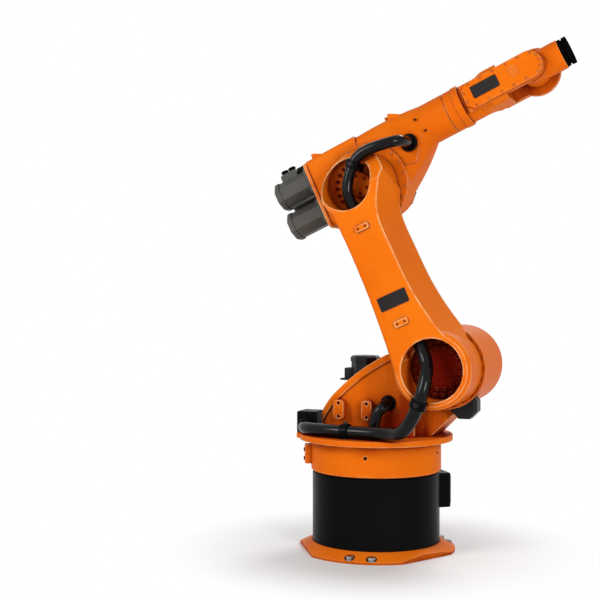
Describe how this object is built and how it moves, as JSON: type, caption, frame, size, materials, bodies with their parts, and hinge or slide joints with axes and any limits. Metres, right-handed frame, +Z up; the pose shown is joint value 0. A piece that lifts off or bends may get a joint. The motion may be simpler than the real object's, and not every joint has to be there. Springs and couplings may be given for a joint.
{
  "type": "industrial robot arm",
  "caption": "Floor-standing six-axis industrial robot arm with a hollow link, a forked wrist and a bolt-on tool flange, for handling and process tools",
  "frame": {"origin": "centre of the foot plate's underside, on the turning axis of the column", "axes": "+X the way the arm reaches at rest, +Y away from the link arm's side, +Z up"},
  "size_m": [1.3269, 0.7445, 2.1944],
  "materials": {
    "paint": "semi-gloss orange enamel",
    "black": "satin black",
    "motor": "dark grey coated cast aluminium",
    "hose": "smooth black hose with a sheen",
    "steel": "machined steel"
  },
  "bodies": {
    "base": {"foot_plate": "paint", "base_sleeve": "black", "slewing_ring": "steel", "connection_box": "black"},
    "column": {"turntable": "paint", "column_housing": "paint", "shoulder_cap": "paint", "shoulder_gear_ring": "paint", "column_motor": "motor", "shoulder_motor": "motor", "cable_box": "black", "deck_clamp": "black", "column_hose": "hose", "short_hose": "hose", "shoulder_hose": "hose"},
    "link": {"link_arm": "paint", "shoulder_gear_flange": "steel", "elbow_gear_flange": "steel", "elbow_hub_cover": "paint", "drum_clamp": "black", "drum_hose": "hose", "link_hose": "hose", "elbow_clamp": "black", "elbow_hose": "hose"},
    "arm": {"arm_housing": "paint", "arm_front_ring": "paint", "elbow_gear_ring": "paint", "motor_plate": "paint", "wrist_motor_near_upper": "motor", "wrist_motor_near_lower": "motor", "wrist_motor_far_upper": "motor", "elbow_motor": "motor", "hose_socket": "black"},
    "wrist": {"wrist_housing": "paint", "wrist_drive_cover": "paint", "wrist_far_cover": "paint"},
    "swivel": {"wrist_swivel": "paint"},
    "tool": {"tool_flange": "black"}
  },
  "joints": [
    {"name": "turn", "type": "hinge", "parent": "base", "child": "column", "pos_m": [0, 0, 0.349], "axis": [0, 0, 1], "range_deg": [-185, 185]},
    {"name": "shoulder", "type": "hinge", "parent": "column", "child": "link", "pos_m": [0.35, 0, 0.815], "axis": [0, 1, 0], "range_deg": [-21.5, 148.5], "deforming": ["shoulder_hose"]},
    {"name": "elbow", "type": "hinge", "parent": "link", "child": "arm", "pos_m": [0.01106, 0, 1.5945], "axis": [0, -1, 0], "range_deg": [-69.2, 208.8], "deforming": ["elbow_hose"]},
    {"name": "wrist_roll", "type": "hinge", "parent": "arm", "child": "wrist", "pos_m": [0.40654, 0, 1.936], "axis": [0.9085, 0, 0.4179], "range_deg": [-350, 350]},
    {"name": "wrist_bend", "type": "hinge", "parent": "wrist", "child": "swivel", "pos_m": [0.69545, 0, 2.06889], "axis": [0, 1, 0], "range_deg": [-119, 119]},
    {"name": "tool_roll", "type": "hinge", "parent": "swivel", "child": "tool", "pos_m": [0.8181, 0, 2.1253], "axis": [0.9085, 0, 0.4179], "range_deg": [-350, 350]}
  ]
}
